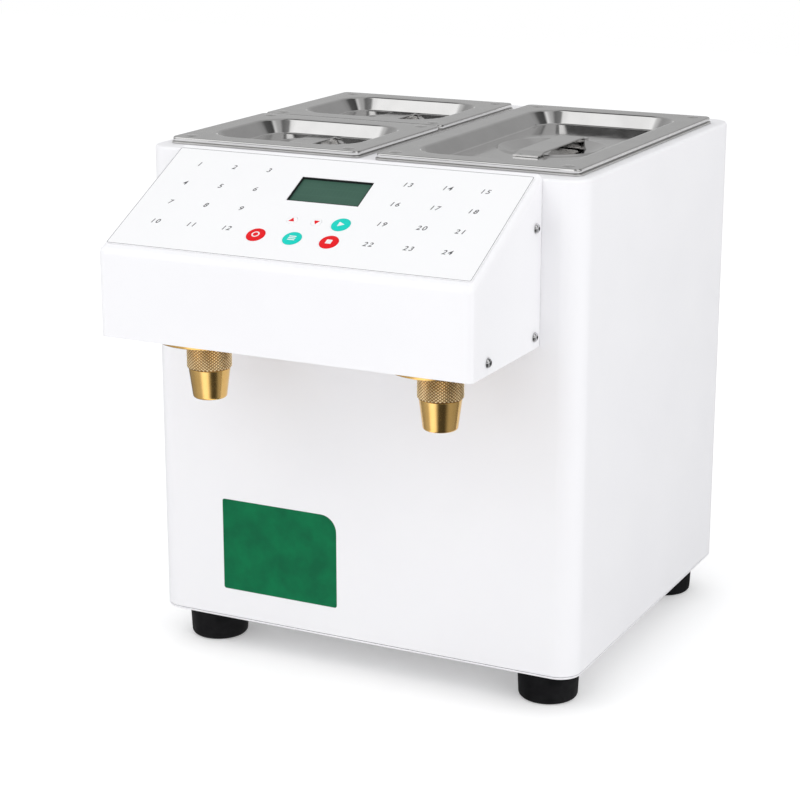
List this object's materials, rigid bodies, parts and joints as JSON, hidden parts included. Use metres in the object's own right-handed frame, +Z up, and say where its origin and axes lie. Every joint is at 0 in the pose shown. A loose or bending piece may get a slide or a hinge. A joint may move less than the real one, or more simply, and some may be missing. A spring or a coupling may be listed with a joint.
{
  "type": "fructose dispenser",
  "caption": "Countertop syrup dispenser: white steel cabinet, sloping keypad head, brass nozzles, lidded steel tanks, pumps inside.",
  "frame": {"origin": "on the counter, under the middle of the whole outline", "axes": "+Z up, front with the head towards -Y, +X to the right of someone who faces the front"},
  "size_m": [0.404, 0.5024, 0.4607],
  "materials": {
    "white_steel": "fine-textured white powder coat",
    "plain_steel": "plain stainless steel",
    "bright_steel": "bright pressed stainless steel",
    "brass": "satin turned brass",
    "black_rubber": "matt moulded rubber",
    "black_plastic": "satin moulded plastic",
    "overlay_film": "fine matt printed film",
    "display_lens": "clear gloss window over a green display",
    "display_grey": "plain housing",
    "board_green": "solder mask",
    "red_key": "satin",
    "teal_key": "satin",
    "clear_hose": "milky silicone hose",
    "motor_steel": "zinc plated"
  },
  "bodies": {
    "cabinet": {"base_plate": "white_steel", "cabinet_shell": "white_steel", "top_deck": "white_steel", "rear_panel": "white_steel", "head_casing": "white_steel", "head_chassis": "white_steel", "keypad_overlay": "overlay_film", "display_window": "display_lens", "display_module": "display_grey", "control_board": "board_green", "power_socket": "black_plastic", "switch_frame": "black_plastic", "power_supply": "motor_steel", "left_tank": "plain_steel", "left_tank_outlet": "plain_steel", "left_suction_hose": "clear_hose", "left_delivery_hose": "clear_hose", "left_pump_body": "plain_steel", "left_pump_motor": "motor_steel", "left_pump_bracket": "plain_steel", "left_nozzle_flange": "brass", "left_front_screw": "bright_steel", "left_rear_lower_screw": "bright_steel", "left_rear_upper_screw": "bright_steel", "front_left_foot": "black_rubber", "rear_left_foot": "black_rubber", "right_tank": "plain_steel", "right_tank_outlet": "plain_steel", "right_suction_hose": "clear_hose", "right_delivery_hose": "clear_hose", "right_pump_body": "plain_steel", "right_pump_motor": "motor_steel", "right_pump_bracket": "plain_steel", "right_nozzle_flange": "brass", "right_front_screw": "bright_steel", "right_rear_lower_screw": "bright_steel", "right_rear_upper_screw": "bright_steel", "front_right_foot": "black_rubber", "rear_right_foot": "black_rubber"},
    "left_front_lid": {"left_front_lid": "bright_steel", "left_front_handle": "bright_steel"},
    "left_rear_lid": {"left_rear_lid": "bright_steel", "left_rear_handle": "bright_steel"},
    "right_lid": {"right_lid": "bright_steel", "right_handle": "bright_steel"},
    "red_left_key": {"red_left_key": "red_key"},
    "teal_middle_key": {"teal_middle_key": "teal_key"},
    "red_right_key": {"red_right_key": "red_key"},
    "teal_upper_key": {"teal_upper_key": "teal_key"},
    "up_key": {"up_key": "red_key"},
    "down_key": {"down_key": "red_key"},
    "switch_rocker": {"switch_rocker": "black_plastic"},
    "left_drive_gear": {"left_drive_gear": "plain_steel"},
    "left_idler_gear": {"left_idler_gear": "plain_steel"},
    "left_nozzle_tip": {"left_nozzle_tip": "brass"},
    "left_nozzle_collar": {"left_nozzle_collar": "brass"},
    "right_drive_gear": {"right_drive_gear": "plain_steel"},
    "right_idler_gear": {"right_idler_gear": "plain_steel"},
    "right_nozzle_tip": {"right_nozzle_tip": "brass"},
    "right_nozzle_collar": {"right_nozzle_collar": "brass"}
  },
  "joints": [
    {"name": "left_front_lid_lift", "type": "slide", "parent": "cabinet", "child": "left_front_lid", "axis": [0, 0, 1], "range_m": [0, 0.08]},
    {"name": "left_rear_lid_lift", "type": "slide", "parent": "cabinet", "child": "left_rear_lid", "axis": [0, 0, 1], "range_m": [0, 0.08]},
    {"name": "right_lid_lift", "type": "slide", "parent": "cabinet", "child": "right_lid", "axis": [0, 0, 1], "range_m": [0, 0.08]},
    {"name": "red_left_key_press", "type": "slide", "parent": "cabinet", "child": "red_left_key", "axis": [0, 0.4554, -0.8903], "range_m": [0, 0.0005], "stiffness_N_per_m": 200, "springref_m": -0.001},
    {"name": "teal_middle_key_press", "type": "slide", "parent": "cabinet", "child": "teal_middle_key", "axis": [0, 0.4554, -0.8903], "range_m": [0, 0.0005], "stiffness_N_per_m": 200, "springref_m": -0.001},
    {"name": "red_right_key_press", "type": "slide", "parent": "cabinet", "child": "red_right_key", "axis": [0, 0.4554, -0.8903], "range_m": [0, 0.0005], "stiffness_N_per_m": 200, "springref_m": -0.001},
    {"name": "teal_upper_key_press", "type": "slide", "parent": "cabinet", "child": "teal_upper_key", "axis": [0, 0.4554, -0.8903], "range_m": [0, 0.0005], "stiffness_N_per_m": 200, "springref_m": -0.001},
    {"name": "up_key_press", "type": "slide", "parent": "cabinet", "child": "up_key", "axis": [0, 0.4554, -0.8903], "range_m": [0, 0.0005], "stiffness_N_per_m": 200, "springref_m": -0.001},
    {"name": "down_key_press", "type": "slide", "parent": "cabinet", "child": "down_key", "axis": [0, 0.4554, -0.8903], "range_m": [0, 0.0005], "stiffness_N_per_m": 200, "springref_m": -0.001},
    {"name": "switch_rocker_tilt", "type": "hinge", "parent": "cabinet", "child": "switch_rocker", "pos_m": [-0.12, 0.24747, 0.144], "axis": [1, 0, 0], "range_deg": [-16, 0]},
    {"name": "left_drive_spin", "type": "hinge", "parent": "cabinet", "child": "left_drive_gear", "pos_m": [-0.10945, 0.05975, 0.132], "axis": [0, 1, 0], "continuous": true},
    {"name": "left_idler_spin", "type": "hinge", "parent": "cabinet", "child": "left_idler_gear", "pos_m": [-0.08855, 0.05975, 0.132], "axis": [0, 1, 0], "continuous": true},
    {"name": "left_tip_travel", "type": "slide", "parent": "cabinet", "child": "left_nozzle_tip", "axis": [0, 0, -1], "range_m": [0, 0.003]},
    {"name": "left_collar_turn", "type": "hinge", "parent": "left_nozzle_tip", "child": "left_nozzle_collar", "pos_m": [-0.091, -0.20675, 0.3029], "axis": [0, 0, -1], "range_deg": [0, 360]},
    {"name": "right_drive_spin", "type": "hinge", "parent": "cabinet", "child": "right_drive_gear", "pos_m": [0.08855, 0.05975, 0.132], "axis": [0, 1, 0], "continuous": true},
    {"name": "right_idler_spin", "type": "hinge", "parent": "cabinet", "child": "right_idler_gear", "pos_m": [0.10945, 0.05975, 0.132], "axis": [0, 1, 0], "continuous": true},
    {"name": "right_tip_travel", "type": "slide", "parent": "cabinet", "child": "right_nozzle_tip", "axis": [0, 0, -1], "range_m": [0, 0.003]},
    {"name": "right_collar_turn", "type": "hinge", "parent": "right_nozzle_tip", "child": "right_nozzle_collar", "pos_m": [0.12, -0.20675, 0.3029], "axis": [0, 0, -1], "range_deg": [0, 360]}
  ],
  "couplings": [
    {"joint": "left_idler_spin", "follows": "left_drive_spin", "ratio": -1},
    {"joint": "left_collar_turn", "follows": "left_tip_travel", "rad_per_m": 2094},
    {"joint": "right_idler_spin", "follows": "right_drive_spin", "ratio": -1},
    {"joint": "right_collar_turn", "follows": "right_tip_travel", "rad_per_m": 2094}
  ]
}
